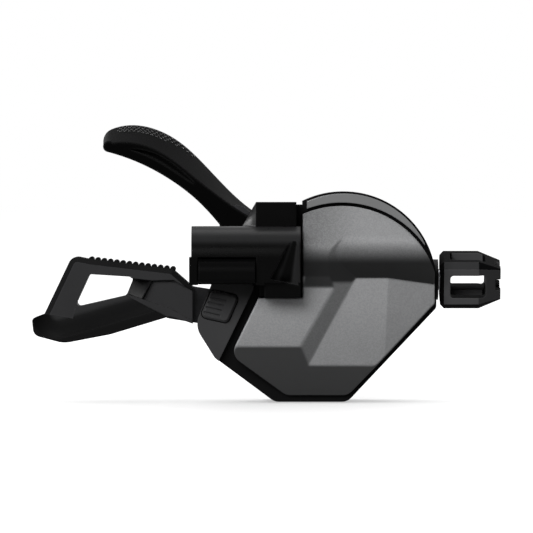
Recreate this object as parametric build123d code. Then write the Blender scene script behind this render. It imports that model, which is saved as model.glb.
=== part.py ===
from build123d import *
import os
from math import atan2, cos, degrees, hypot, radians, sin, sqrt

# A trigger gear shifter for the right side of a handlebar, in millimetres.
# X runs towards the cable outlet, Y runs from the front cover to the back and Z runs up.
# The origin is the mouth of the threaded hole in the clamp nut.

# Fits between pieces
running_gap = 0.06
moving_gap = 0.5
seat_gap = 0.2

# Clamp nut
thread_radius = 2.1
thread_depth = 5.0
nut_length = 13.2
nut_height = 5.7
nut_depth = 11.6
nut_round = 3.2

# Mounting bracket
ear_thickness = 2.0
ear_drop = 0.6
saddle_radius = 7.2
saddle_left = -8.3
block_height = 5.7
block_front = 1.5
block_slope = 3.2
block_inset = 1.0
scoop_side = 0.6

# Outline of the housing
dome_z = -0.6
dome_radius = 21.9
body_right = 49.4
shoulder_z = -6.2
flat_right = 28.4
flat_left = 11.2
body_bottom = -28.4
wing_foot_x = -2.9
wing_foot_z = -18.0
wing_left = -7.6
wing_waist_z = -10.5
wing_neck_x = -3.6
wing_top = -0.3
notch_side = 17.8
notch_floor = -3.8
notch_left = 7.4
wing_lean = 26.0
lower_round = 3.0
wing_round = 5.0
housing_front = 10.0
housing_wall = 1.6
back_round = 1.4
bowl_left = 8.0
wing_wall = 1.2

# Front cover
side_rim = 0.5
lower_rim = 1.6
slope_rim = 1.0
left_rim = 2.9
strip_gap = 0.8
cover_wall = 1.4
cover_height = 10.4
facet_softness = 1.2
dome_softness = 7.0

# Facets of the front cover, each as three points: x, height over the housing and z
left_facet = [(2.0, 5.8, -1.4), (20.0, 5.8, -1.4), (2.0, 6.6, -15.2)]
right_facet = [(20.0, 3.6, 0.9), (40.0, 3.6, 0.9), (20.0, 4.5, -19.7)]
step_facet = [(24.6, 5.85, -2.3), (17.2, 6.6, -15.2), (29.7, 3.65, -0.3)]
bevel_facet = [(2.0, 6.6, -15.2), (40.0, 6.6, -15.2), (2.0, 4.5, -19.7)]
side_facet = [(38.0, 3.6, 0.9), (48.8, 2.3, 0.9), (37.0, 4.5, -19.7)]
brow_facet = [(17.8, 5.8, -1.4), (28.0, 5.8, -1.4), (17.8, 8.9, 7.2)]
band_facet = [(29.0, 3.6, 0.9), (48.0, 3.6, 0.9), (29.0, 8.6, 7.2)]
crown_facet = [(17.8, 8.9, 7.2), (48.0, 8.2, 7.2), (29.0, 5.0, 17.5)]

# Accent strip
strip_start = 1.0
strip_end = 2.8
strip_drops = [2.3, 2.7, 1.6]
strip_edge = 0.5
strip_thickness = 1.8

# Cable cap and its plug
cap_corner = 7.0
cap_thickness = 2.4
plug_width = 6.6
plug_height = 6.4
plug_x = -1.75
plug_z = -5.85
plug_stand = 1.0
plug_depth = 3.6
plug_ribs = 4
rib_pitch = 1.15
rib_width = 0.45
plug_rib_length = 4.1

# Pivot stack, from front to back
plate_thickness = 1.6
deck_thickness = 1.2
axle_radius = 3.0
journal_radius = 2.4
washer_thickness = 0.5
flange_thickness = 0.8
groove_width = 1.7
ratchet_width = 1.4
release_thickness = 1.6
spacer_thickness = 1.2
main_thickness = 2.0
clip_thickness = 0.8
spring_room = 4.0

# Wire reel
pivot_x = 24.2
groove_radius = 10.6
cable_radius = 0.6
flange_radius = 12.0
crest_radius = 11.6
root_radius = 10.2
gear_count = 11
click_angle = 15.0
hub_radius = 4.3
spring_recess = 8.0
nipple_radius = 2.3

# Pawls
pawl_hub = 2.4
pawl_pin_radius = 1.2
winding_pin_angle = 38.0
winding_pin_reach = 15.6
holding_pin_angle = 205.0
holding_pin_reach = 16.6
pawl_lead = 24.0
nose_gap = 0.3
nose_width = 1.6
pawl_back = 1.9

# Levers
hub_plate = 7.5
main_arm_width = 8.0
release_arm_width = 8.5
main_pad_depth = 11.8
loop_depth = 14.6
loop_frame_depth = 9.0
rib_count = 14
rib_radius = 0.65
window_round = 1.6

# Cable adjuster
adjuster_z = 0.4
neck_radius = 4.8
neck_end = 49.9
knob_left = 50.3
knob_length = 14.3
knob_flats = 11.5
knob_edge = 1.4
knob_tilt = 17.0
knob_wall = 2.4
knob_bore = 4.4
knob_sides = 4
window_height = 5.5
sleeve_radius = 2.5
cable_bore = 1.1
casing_radius = 2.6
outlet_notch = 2.6
outlet_notch_depth = 1.2

# Fasteners
screw_radius = 1.25
screw_head_radius = 2.2
screw_head_height = 1.5
socket_depth = 0.9
boss_radius = 2.6
wire_radius = 0.4

# Shapes of the two finger pads, as points of their outlines
main_pad_upper = [(6.7, 16.2), (0.5, 21.3), (-6.2, 28.3), (-12.4, 33.7), (-22.9, 37.2), (-28.0, 36.2)]
main_pad_lip = [(5.6, 15.0), (-2.5, 20.4), (-8.9, 25.4), (-16.6, 30.9), (-22.9, 32.9), (-27.4, 32.8)]
main_pad_lower = [(-28.7, 30.7), (-21.6, 28.3), (-12.5, 23.3), (-7.3, 19.2), (-1.6, 13.0), (2.0, 8.4)]
main_pad_groove_top = [(-23.4, 31.3), (-16.8, 30.0), (-10.9, 26.1), (-7.6, 22.9)]
main_pad_groove_floor = [(-7.6, 22.9), (-11.6, 25.4), (-17.4, 29.0), (-23.4, 31.3)]
main_tip_bulge = 1.6
main_groove_depth = 1.8
main_arm_end = (2.0, 14.0)
release_arm_end = (-13.0, -4.8)
release_leg = 6.0
release_leg_angle = -10.0
loop_points = [
    (-36.7, 6.1), (-32.2, 5.2), (-12.9, 2.9), (-8.2, -1.2), (-8.2, -10.0), (-13.6, -8.2), (-27.5, -12.4),
    (-38.5, -14.5), (-45.6, -12.6), (-46.0, -8.7), (-43.3, -7.7)]
loop_rounds = [2.2, 0, 2.0, 0, 0, 3.0, 14.0, 7.0, 2.0, 0.8, 0]
loop_window = [(-32.6, 1.7), (-22.2, 1.05), (-24.0, -3.35), (-36.2, -6.15)]
loop_lip = [
    (-60, -8.3), (-43.3, -7.7), (-36.5, -8.8), (-35.9, -6.1), (-24.0, -3.3), (-14.5, -8.2), (-14.5, -20),
    (-60, -20)]
loop_bevel = [(-24.2, 0.9), (-17.8, 0.2), (-20.1, -4.2), (-25.0, -2.6)]
loop_block = [(-17.8, 0.2), (-12.7, 0.3), (-8.0, -2.3), (-8.0, -9.6), (-13.1, -6.6), (-20.1, -4.2)]
loop_block_depth = 1.0
loop_rim = [(-38.6, -13.2), (-12.0, -5.5)]
dish_radius = 6.0
dish_rise = 5.9
bar_chamfer = 1.2

# Smaller sizes of the housing, the bracket and the springs
seat_top = 18.2
neck_length = 5.4
seal_radius = 4.0
seal_depth = 1.6
spring_boss_radius = 3.9
spring_turns = 3
spring_width = 2.0
spring_strip = 0.35
spring_half_turns = 8
pocket_angle = 150.0
pawl_side_gap = 0.1
nut_thickness = 2.2
clip_groove = 0.5
clip_mouth = 35.0
screw_bite = 4.5
cover_screw_bite = 2.4
saddle_set = 3.2
scoop_radius = 3.6
plug_tilt = 13.0
plug_round = 1.3
plug_edge = 0.5
cap_round = 1.2
knob_taper = 2.0
knob_shoulder = 0.9
knob_nose = 5.2
window_start = 108.0
window_end = 203.0
deck_opening = 8.0

# Places of the screws: inside the dome at an angle, or away from the nearest corner
dome_screws = [(7.2, 29.4), (8.3, 105.0)]
cover_dome_screw = (9.1, 64.6)
cover_foot_screw = (3.8, 5.9)
wing_screw = (1.6, 6.2)
bracket_screw_side = 5.6
bracket_screw_drops = [12.2, 7.4]

# Depths of the pivot stack, each piece behind the one before
plate_front = housing_front + deck_thickness
plate_back = plate_front + plate_thickness
reel_front = plate_back + washer_thickness
groove_front = reel_front + flange_thickness
groove_back = groove_front + groove_width
holding_front = groove_back + flange_thickness
winding_front = holding_front + ratchet_width
reel_back = winding_front + ratchet_width
release_front = reel_back + washer_thickness
release_back = release_front + release_thickness
main_front = release_back + spacer_thickness
main_back = main_front + main_thickness
clip_front = main_back + washer_thickness
clip_back = clip_front + clip_thickness
rear_wall_front = clip_back + spring_room
housing_back = rear_wall_front + housing_wall
wing_back = release_front - moving_gap
cable_y = groove_front + groove_width / 2
dome_x = body_right - dome_radius
pivot_z = adjuster_z - groove_radius - cable_radius
pivot = (pivot_x, pivot_z)
seat_back = plate_back + plate_thickness
ledge_z = pivot_z + flange_radius + moving_gap + housing_wall
knob_right = knob_left + knob_length
end_wall = knob_wall + outlet_notch_depth
strip_left = notch_side + strip_start
strip_right = body_right - strip_end


def polar(reach, angle, centre=pivot):
    """Point at a distance and an angle from a centre, counted as the front shows it."""
    turn = radians(angle)
    return (centre[0] + reach * cos(turn), centre[1] + reach * sin(turn))


def line_cross(a, b, c, d):
    """Point where the line through a and b meets the line through c and d."""
    ux, uz = b[0] - a[0], b[1] - a[1]
    vx, vz = d[0] - c[0], d[1] - c[1]
    share = ((c[0] - a[0]) * vz - (c[1] - a[1]) * vx) / (ux * vz - uz * vx)
    return (a[0] + share * ux, a[1] + share * uz)


def shifted(a, b, rim):
    """Two points of the edge from a to b, moved by the rim to the right of its direction."""
    length = hypot(b[0] - a[0], b[1] - a[1])
    dx, dz = rim * (b[1] - a[1]) / length, -rim * (b[0] - a[0]) / length
    return (a[0] + dx, a[1] + dz), (b[0] + dx, b[1] + dz)


def slab(outline, front, back):
    """A flat piece of the outline that fills the depth from front to back."""
    return extrude(Plane.XZ.offset(-back) * outline, back - front)


def bar(outline, left, right):
    """A straight piece whose outline in depth and height runs from left to right."""
    return extrude(Plane.YZ.offset(left) * outline, right - left)


def disc(centre, radius, front, back):
    """A round plate or pin whose axis runs in depth."""
    return slab(Pos(*centre) * Circle(radius), front, back)


def ring(centre, radius, bore, front, back):
    """A round plate with a round hole."""
    return slab(Pos(*centre) * (Circle(radius) - Circle(bore)), front, back)


def outline_of(points, rounds):
    """A closed outline with straight sides and rounded corners."""
    return make_face(FilletPolyline(*points, radius=rounds, close=True))


def box_of(left, right, front, back, bottom, top):
    """A block between six limits."""
    outline = Polygon((left, bottom), (right, bottom), (right, top), (left, top), align=None)
    return slab(outline, front, back)


def along_x(outline, x, y, z, length):
    """A piece whose outline is drawn across an axis that runs along X."""
    return extrude(Plane((x, y, z), x_dir=(0, 1, 0), z_dir=(1, 0, 0)) * outline, length)


def behind(solid, facet, level):
    """What lies behind the plane of a facet whose heights are counted forward from a level."""
    a, b, c = [Vector(x, level - height, z) for x, height, z in facet]
    normal = (b - a).cross(c - a)
    if normal.Y > 0:
        normal = normal * -1
    return split(solid, bisect_by=Plane(a, z_dir=normal), keep=Keep.BOTTOM)


def front_creases(solid):
    """Edges where two faces of a front relief meet."""
    faces = [face for face in solid.faces() if face.normal_at(face.center()).Y < -0.5]
    edges = [edge for face in faces for edge in face.edges()]
    return [edge for i, edge in enumerate(edges) if any(edge.is_same(other) for other in edges[:i])]


def screw(x, z, head_end, tip):
    """A cap screw along the depth axis with a hexagonal socket in its head."""
    side = 1 if tip > head_end else -1
    step = side * screw_head_height
    socket = side * socket_depth
    shank = disc((x, z), screw_radius, min(head_end, tip), max(head_end, tip))
    head = disc((x, z), screw_head_radius, min(head_end, head_end + step), max(head_end, head_end + step))
    hexagon = Pos(x, z) * RegularPolygon(screw_radius, 6)
    key = slab(hexagon, min(head_end, head_end + socket), max(head_end, head_end + socket))
    return shank + head - key


def screws(spots, head_end, tip):
    """Equal screws at several spots."""
    return Compound([screw(*spot, head_end, tip) for spot in spots])


def hairpin(centre, radius, y, first, second, leg):
    """A wire spring: one open turn round a centre with a straight leg at each end."""
    start, end = polar(radius, first, centre), polar(radius, second, centre)
    middle = polar(radius, (first + second) / 2, centre)
    first_leg = (start[0] + leg * sin(radians(first)), start[1] - leg * cos(radians(first)))
    second_leg = (end[0] - leg * sin(radians(second)), end[1] + leg * cos(radians(second)))
    path = Line(first_leg, start) + ThreePointArc(start, middle, end) + Line(end, second_leg)
    path = Plane.XZ.offset(-y) * path
    return sweep(Plane(path @ 0, z_dir=path % 0) * Circle(wire_radius), path=path)


def in_dome(depth, angle):
    """Place of a screw under the dome, at a depth inside its outline."""
    return polar(dome_radius - depth, angle, (dome_x, dome_z))


cover_screw_foot = (flat_left + cover_foot_screw[0], body_bottom + cover_foot_screw[1])
cover_screw_spots = [in_dome(*cover_dome_screw), cover_screw_foot]
wing_screw_spot = (notch_left + wing_screw[0], notch_floor - wing_screw[1])
plate_screw_spots = [*[in_dome(*spot) for spot in dome_screws], wing_screw_spot]
bracket_screw_spots = [(notch_left + bracket_screw_side, seat_top - drop) for drop in bracket_screw_drops]
holding_pin = polar(holding_pin_reach, holding_pin_angle)
winding_pin = polar(winding_pin_reach, winding_pin_angle)


# Outlines of the housing, its cavity and the front cover

right_edge = ((body_right, dome_z), (body_right, shoulder_z))
diagonal = ((body_right, shoulder_z), (flat_right, body_bottom))
underside = ((flat_right, body_bottom), (flat_left, body_bottom))
wing_edge = ((flat_left, body_bottom), (wing_foot_x, wing_foot_z))


def dome_height(x):
    """Height of the domed top of the housing at a place across it."""
    return dome_z + sqrt(dome_radius**2 - (x - dome_x)**2)


def under_strip(gap):
    """A round area whose edge runs a gap below the accent strip."""
    places = [strip_left, (strip_left + strip_right) / 2, strip_right]
    edge = ThreePointArc(*[(x, dome_height(x) - drop) for x, drop in zip(places, strip_drops)])
    return Pos(edge.arc_center.X, edge.arc_center.Y) * Circle(edge.radius - gap)


def body_outline():
    """The housing from the front: a domed top, a pointed lower half and a wing on the left."""
    dome_left = (notch_side, dome_height(notch_side))
    dome_right = (body_right, dome_z)
    sides = FilletPolyline(
        dome_right, diagonal[0], underside[0], underside[1], wing_edge[1], (wing_left, wing_waist_z),
        (wing_neck_x, wing_top), (notch_left, wing_top), (notch_left, ledge_z), (notch_side, ledge_z),
        dome_left,
        radius=[lower_round / 2, lower_round, lower_round, lower_round, wing_round, 0, 0, 0, 0])
    dome = ThreePointArc(dome_left, (dome_x, dome_z + dome_radius), dome_right)
    return make_face(sides.edges() + dome.edges())


def cover_outline(inset):
    """The front cover, with each edge moved in from its place by the inset."""
    lean_x = sin(radians(wing_lean))
    lean_z = cos(radians(wing_lean))
    right = shifted(*right_edge, side_rim + inset)
    slope = shifted(*diagonal, slope_rim + inset)
    bottom = shifted(*underside, lower_rim + inset)
    left_low = shifted(*wing_edge, left_rim + inset)
    left_top = (notch_left, notch_floor)
    left = shifted((left_top[0] - lean_x, left_top[1] - lean_z), left_top, inset)
    floor = shifted((notch_left, notch_floor), (notch_side, notch_floor), inset)
    side = shifted((notch_side, notch_floor), (notch_side, dome_z), inset)
    top = dome_z + dome_radius
    level = ((0, top), (1, top))
    corners = [
        line_cross(*right, *slope), line_cross(*slope, *bottom), line_cross(*bottom, *left_low),
        line_cross(*left_low, *left), line_cross(*left, *floor), line_cross(*floor, *side),
        line_cross(*side, *level), line_cross(*level, *right),
    ]
    softened = max(lower_round - inset, seat_gap)
    lower = outline_of(corners, [softened / 2, softened, softened, softened, 0, 0, 0, 0])
    room = Polygon((notch_side, dome_z), (body_right, dome_z), (body_right, top), (notch_side, top), align=None)
    return lower - (room - under_strip(strip_gap + inset))


def cap_edge():
    """The leaning line between the cable cap and the front cover."""
    reach = 2 * (wing_top - wing_foot_z)
    foot = (cap_corner - reach * sin(radians(wing_lean)), wing_top - reach * cos(radians(wing_lean)))
    return (cap_corner, wing_top), foot


def adjuster_cylinder(radius, left, right):
    """A round piece on the cable axis."""
    return along_x(Circle(radius), left, cable_y, adjuster_z, right - left)


# Front cover

def behind_all(solid, level, *facets):
    """What lies behind every one of several facets."""
    for facet in facets:
        solid = behind(solid, facet, level)
    return solid


def cover_form(inset, softness, ridge_softness):
    """The solid form of the cover: a leaning dome above two stepped planes and a lower bevel."""
    block = slab(cover_outline(inset), housing_front - 2 * cover_height, housing_front)
    level = housing_front + inset
    left = behind_all(block, level, left_facet, step_facet, bevel_facet)
    right = behind_all(block, level, right_facet, side_facet, bevel_facet)
    brow = behind_all(block, level, brow_facet, crown_facet)
    dome = behind_all(block, level, band_facet, crown_facet)
    if softness:
        left = fillet(front_creases(left), softness)
        right = fillet(front_creases(right), softness)
        brow = fillet(front_creases(brow), ridge_softness)
        dome = fillet(front_creases(dome), ridge_softness)
    return left + right + dome + behind(brow, step_facet, level)


def main_cover():
    """The grey front cover, an open shell with two screw posts inside."""
    shell = cover_form(0, facet_softness, dome_softness) - cover_form(cover_wall, 0, 0)
    roof = cover_form(cover_wall / 2, 0, 0)
    for spot in cover_screw_spots:
        inside = disc(spot, boss_radius, housing_front - cover_height, housing_front) & roof
        foot = disc(spot, boss_radius, housing_front - seat_gap, plate_front)
        hole = disc(spot, screw_radius, housing_front - cover_screw_bite, plate_front)
        shell = shell + inside + foot - hole
    return shell


# Housing

def bowl_outline(inset):
    """The part of the housing behind the cover, without the wing, moved in by the inset."""
    top = dome_z + dome_radius
    left = bowl_left + inset
    room = Polygon((left, body_bottom), (body_right, body_bottom), (body_right, top), (left, top), align=None)
    outline = body_outline()
    if inset:
        outline = offset(outline, -inset, kind=Kind.INTERSECTION)
    return outline & room


def housing():
    """The black front body: a deck behind the cover, side walls, the wing and the adjuster's neck."""
    body = slab(body_outline(), housing_front, wing_back)
    inner = offset(body_outline(), -housing_wall, kind=Kind.INTERSECTION)
    body = body - slab(inner, plate_front, wing_back - wing_wall)
    body = body - slab(bowl_outline(housing_wall), wing_back - wing_wall, wing_back)
    seat_left = notch_left + seat_gap
    body = body + box_of(
        seat_left, notch_side + housing_wall, housing_front, seat_back, ledge_z - housing_wall, seat_top)
    body = body + disc(wing_screw_spot, boss_radius, plate_back, wing_back)
    neck_left = body_right - neck_length
    body = body + adjuster_cylinder(neck_radius, neck_left, neck_end)
    body = body - adjuster_cylinder(sleeve_radius + running_gap, neck_left, neck_end)
    body = body - adjuster_cylinder(seal_radius, neck_end - seal_depth, neck_end)
    body = body - disc(pivot, deck_opening, housing_front, plate_front)
    body = body - slab(plug_outline(seat_gap), housing_front, plate_front)
    for spot in plate_screw_spots:
        body = body - disc(spot, screw_radius, housing_front, plate_front)
    body = body - disc(wing_screw_spot, screw_radius, plate_back, plate_back + screw_bite)
    for spot in cover_screw_spots:
        body = body - disc(spot, boss_radius + seat_gap, housing_front, plate_front)
    for spot in bracket_screw_spots:
        body = body - disc(spot, screw_radius, housing_front, seat_back)
    return body


def rear_cover():
    """The black rear bowl: it carries the end of the axle and leaves a slot for both lever arms."""
    bowl = slab(bowl_outline(0), wing_back, housing_back)
    bowl = fillet(bowl.faces().sort_by(Axis.Y)[-1].edges(), back_round)
    bowl = bowl - slab(bowl_outline(housing_wall), wing_back, rear_wall_front)
    for spot in plate_screw_spots[:-1]:
        bowl = bowl + disc(spot, boss_radius, plate_back, rear_wall_front)
        bowl = bowl - disc(spot, screw_radius, plate_back, plate_back + screw_bite)
    bowl = bowl + disc(pivot, spring_boss_radius, clip_back + moving_gap, rear_wall_front)
    bowl = bowl - disc(pivot, journal_radius, clip_back, rear_wall_front)
    reach = 2 * dome_radius
    start, end = polar(reach, window_start), polar(reach, window_end)
    middle = polar(reach, (window_start + window_end) / 2)
    slot = make_face([Line(pivot, start), ThreePointArc(start, middle, end), Line(end, pivot)])
    bowl = bowl - slab(slot, wing_back, main_back + moving_gap)
    return bowl - adjuster_cylinder(neck_radius + seat_gap, body_right - neck_length - seat_gap, neck_end)


def accent_strip():
    """The glossy strip in the gap between the cover and the top of the housing."""
    outer = Pos(dome_x, dome_z) * Circle(dome_radius - strip_edge)
    room = Polygon(
        (strip_left, dome_z), (strip_right, dome_z), (strip_right, dome_z + dome_radius),
        (strip_left, dome_z + dome_radius), align=None)
    outline = (outer & room) - under_strip(0)
    return slab(outline, housing_front - strip_thickness, housing_front)


# Cable cap with its pull-out plug

def plug_outline(grow):
    """A leaning four-sided outline with round corners, grown by a gap on every side."""
    half_width, half_height = plug_width / 2 + grow, plug_height / 2 + grow
    lean = half_height * sin(radians(wing_lean))
    drop = half_width * sin(radians(plug_tilt))
    corners = [
        (plug_x - half_width + lean, plug_z + half_height + drop),
        (plug_x + half_width + lean, plug_z + half_height - drop),
        (plug_x + half_width - lean, plug_z - half_height - drop),
        (plug_x - half_width - lean, plug_z - half_height + drop),
    ]
    return outline_of(corners, plug_round + grow)


def cable_cap():
    """The dark lid of the wing, with a leaning edge and the opening of the plug."""
    top, foot = cap_edge()
    far = wing_left + foot[0]
    area = outline_of([(far, wing_top), top, foot, (far, foot[1])], [0, cap_round, 0, 0])
    lid = slab(body_outline() & area, housing_front - cap_thickness, housing_front)
    lid = lid - slab(plug_outline(seat_gap), housing_front - cap_thickness, housing_front)
    return lid


def cable_access_plug():
    """The ribbed plug that closes the way in for the cable end."""
    front = housing_front - cap_thickness - plug_stand
    plug = slab(plug_outline(0), front, front + plug_depth)
    plug = chamfer(plug.faces().sort_by(Axis.Y)[0].edges(), plug_edge)
    for i in range(plug_ribs):
        drop = (i - (plug_ribs - 1) / 2) * rib_pitch
        groove = Pos(plug_x - plug_width / 6 - drop * sin(radians(wing_lean)), plug_z - drop)
        groove = groove * Rot(0, 0, -plug_tilt) * SlotOverall(plug_rib_length, rib_width)
        plug = plug - slab(groove, front, front + rib_width)
    return plug


# Bracket and clamp nut

saddle_floor = nut_height + seat_gap
saddle_top = saddle_floor + saddle_radius
wall_front = nut_depth / 2 + seat_gap
wall_back = housing_front - cap_thickness - seat_gap
ear_inside = nut_length / 2 + seat_gap
bracket_right = notch_side - moving_gap
bracket_foot = notch_floor + seat_gap


def mounting_bracket():
    """The black bracket: a half-round saddle over a slot with two ears, and a foot on the housing."""
    nose = wall_front - seat_gap - saddle_set
    crown = nose - saddle_radius
    profile = make_face([
        ThreePointArc(
            (crown, saddle_floor),
            (nose - saddle_radius * cos(radians(45)), saddle_floor + saddle_radius * sin(radians(45))),
            (nose, saddle_top)),
        Polyline(
            (nose, saddle_top), (wall_back, saddle_top), (wall_back, -ear_drop), (wall_front, -ear_drop),
            (wall_front, saddle_floor), (crown, saddle_floor)),
    ])
    body = bar(profile, saddle_left, bracket_right)
    end_left = ear_inside + ear_thickness
    for left, right in ((-end_left, -ear_inside), (ear_inside, end_left)):
        body = body + box_of(left, right, crown, wall_back, -ear_drop, saddle_floor)
    body = body + box_of(end_left, bracket_right, crown, wall_back, 0, saddle_floor)
    foot_left = notch_left + seat_gap
    body = body + box_of(foot_left, bracket_right, wall_front, housing_front, bracket_foot, saddle_top)
    body = body + box_of(end_left, bracket_right, -nut_depth / 4, housing_front, bracket_foot, saddle_floor)
    body = body & bar_limit(crown)
    block_top = saddle_top + block_height
    block_right = bracket_right - block_inset
    front_quad = [
        (ear_inside, saddle_top), (ear_inside, block_top),
        (block_right, block_top), (block_right, saddle_top)]
    back_quad = [(front_quad[0][0] - block_slope, saddle_top), *front_quad[1:]]
    block = loft([
        Plane.XZ.offset(-block_front) * make_face(Polyline(*front_quad, close=True)),
        Plane.XZ.offset(-wall_back) * make_face(Polyline(*back_quad, close=True)),
    ], ruled=True)
    block = block + slab(make_face(Polyline(*back_quad, close=True)), wall_back, housing_front)
    body = body + block
    apex = Vector(bracket_right - scoop_side, crown, saddle_top)
    foot = Vector((end_left + bracket_right) / 2 + scoop_side, crown, 0)
    axis = foot - apex
    cone = Cone(scoop_radius, seat_gap, axis.length)
    cone = Plane(apex + axis / 2, z_dir=axis * -1) * cone
    body = body - cone
    for spot in bracket_screw_spots:
        body = body - disc(spot, screw_radius, housing_front - screw_bite, housing_front)
    return body


def bar_limit(crown):
    """The block that the saddle end may fill, with its front edge rounded as the saddle is."""
    top = saddle_top + saddle_radius
    room = Polygon(
        (crown, bracket_foot), (housing_front, bracket_foot), (housing_front, top), (crown, top), align=None)
    return bar(room, -ear_inside - ear_thickness, bracket_right)


def clamp_nut():
    """The threaded block that the clamp screw pulls against the bracket."""
    half = nut_depth / 2
    profile = outline_of(
        [(-half, 0), (half, 0), (half, nut_height), (-half, nut_height)], [nut_round / 4, 0, 0, nut_round])
    nut = bar(profile, -nut_length / 2, nut_length / 2)
    return nut - Pos(0, 0, thread_depth / 2) * Cylinder(thread_radius, thread_depth)


# Carrier plate, axle and reel

def base_plate():
    """The steel plate inside the front of the housing that carries the axle and the holding pawl."""
    outline = offset(body_outline(), -housing_wall - seat_gap, kind=Kind.INTERSECTION)
    edge = wing_screw_spot[0] - 2 * boss_radius
    room = Polygon(
        (edge, body_bottom), (body_right, body_bottom), (body_right, dome_z + dome_radius),
        (edge, dome_z + dome_radius), align=None)
    plate = slab(outline & room, plate_front, plate_back)
    plate = plate - box_of(
        notch_left, notch_side + housing_wall + seat_gap, plate_front, plate_back,
        ledge_z - housing_wall - seat_gap, seat_top + seat_gap)
    plate = plate - disc(pivot, journal_radius, plate_front, plate_back)
    plate = plate - disc(holding_pin, pawl_pin_radius, plate_front, plate_back)
    for spot in plate_screw_spots + cover_screw_spots:
        plate = plate - disc(spot, screw_radius, plate_front, plate_back)
    neck = adjuster_cylinder(neck_radius + seat_gap, body_right - neck_length - seat_gap, body_right)
    return plate - neck


def main_axle():
    """The stepped axle of the reel and both levers."""
    front = disc(pivot, journal_radius, plate_front - nut_thickness, plate_back)
    middle = disc(pivot, axle_radius, plate_back, clip_back)
    middle = middle - ring(pivot, axle_radius, axle_radius - clip_groove, clip_front, clip_back)
    rear = disc(pivot, journal_radius, clip_back, rear_wall_front)
    return front + middle + rear


def axle_nut():
    """The hexagonal nut on the front end of the axle."""
    hexagon = Pos(*pivot) * (RegularPolygon(2 * journal_radius, 6) - Circle(journal_radius))
    return slab(hexagon, plate_front - nut_thickness, plate_front)


def washer(front):
    """A thrust washer on the axle."""
    return ring(pivot, hub_radius, axle_radius, front, front + washer_thickness)


def axle_clip():
    """The open clip that snaps into the groove of the axle."""
    groove = axle_radius - clip_groove
    outline = Pos(*pivot) * (Circle(hub_radius) - Circle(groove))
    mouth = Polygon(
        pivot, polar(2 * hub_radius, -90 - clip_mouth), polar(2 * hub_radius, -90 + clip_mouth), align=None)
    return slab(outline - mouth, clip_front, clip_back)


def ratchet(front, start):
    """A ring with one saw tooth for each gear, steep on the side that the pawl holds."""
    points = []
    for i in range(gear_count):
        points.append(polar(root_radius, start + i * click_angle))
        points.append(polar(crest_radius, start + i * click_angle))
    points.append(polar(root_radius, start + gear_count * click_angle))
    points.append(pivot)
    teeth = make_face(Polyline(*points, close=True))
    return slab(teeth + Pos(*pivot) * Circle(root_radius), front, front + ratchet_width)


def wire_reel():
    """The reel: a cable groove between flanges, two ratchets, a spring recess and the end pocket."""
    reel = disc(pivot, groove_radius, reel_front, holding_front)
    reel = reel + disc(pivot, flange_radius, reel_front, groove_front)
    reel = reel + disc(pivot, flange_radius, groove_back, holding_front)
    reel = reel + ratchet(holding_front, holding_pin_angle + pawl_lead)
    reel = reel + ratchet(winding_front, winding_pin_angle + pawl_lead)
    reel = reel - ring(pivot, spring_recess, hub_radius, reel_front, reel_front + spring_width + 2 * seat_gap)
    pocket = polar(groove_radius, pocket_angle)
    reel = reel - disc(pocket, nipple_radius, reel_front, groove_back)
    return reel - disc(pivot, axle_radius + running_gap, reel_front, reel_back)


def reel_spring():
    """The flat spiral spring of the reel, drawn as half turns that grow by a constant step."""
    step = 2 * (spring_recess - hub_radius - 4 * seat_gap - spring_strip) / spring_half_turns
    radius = hub_radius + 2 * seat_gap + spring_strip / 2
    centre = Vector(*pivot)
    point = centre + Vector(radius, 0)
    turns = []
    for i in range(spring_half_turns):
        reach = radius + i * step / 2
        side = 1 if i % 2 == 0 else -1
        end = point - Vector(2 * side * reach, 0)
        top = (point + end) / 2 + Vector(0, side * reach)
        turns.append(ThreePointArc(point, top, end))
        point = end
    strip = trace(turns, spring_strip)
    return slab(strip, reel_front + seat_gap, reel_front + seat_gap + spring_width)


# Pawls

def pawl(pin, reach, angle, front):
    """A finger on a pin whose nose stands just clear of the tooth crests."""
    nose = polar(crest_radius + nose_gap, angle + pawl_lead)
    heel = polar(crest_radius + nose_gap + nose_width, angle + pawl_lead)
    lower = polar(reach - pawl_hub, angle)
    upper = polar(reach + pawl_back, angle + pawl_lead / 4)
    finger = make_face(Polyline(pin, lower, nose, heel, upper, close=True))
    outline = finger + Pos(*pin) * Circle(pawl_hub) - Pos(*pin) * Circle(pawl_pin_radius + running_gap)
    return slab(outline, front + pawl_side_gap, front + ratchet_width - pawl_side_gap)


# Levers

def arm_outline(end, width):
    """A steel arm from a round hub to a round end."""
    angle = degrees(atan2(end[1] - pivot[1], end[0] - pivot[0]))
    side = width / 2
    corners = [
        polar(side, angle - 90), polar(side, angle - 90, end),
        polar(side, angle + 90, end), polar(side, angle + 90)]
    strip = make_face(Polyline(*corners, close=True))
    hub = Pos(*pivot) * Circle(hub_plate)
    return hub + strip + Pos(*end) * Circle(side)


def main_arm_outline():
    """The arm of the main lever with the ear of the winding pawl."""
    ear_side = pawl_hub + pawl_pin_radius / 2
    corners = [
        polar(ear_side, winding_pin_angle - 90), polar(ear_side, winding_pin_angle - 90, winding_pin),
        polar(ear_side, winding_pin_angle + 90, winding_pin), polar(ear_side, winding_pin_angle + 90)]
    ear = make_face(Polyline(*corners, close=True)) + Pos(*winding_pin) * Circle(ear_side)
    return arm_outline(main_arm_end, main_arm_width) + ear


def main_lever_arm():
    """The steel arm of the main lever."""
    bores = Pos(*pivot) * Circle(axle_radius + running_gap) + Pos(*winding_pin) * Circle(pawl_pin_radius)
    return slab(main_arm_outline() - bores, main_front, main_back)


def release_lever_arm():
    """The steel arm of the release lever."""
    outline = arm_outline(release_arm_end, release_arm_width)
    return slab(outline - Pos(*pivot) * Circle(axle_radius + running_gap), release_front, release_back)


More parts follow.
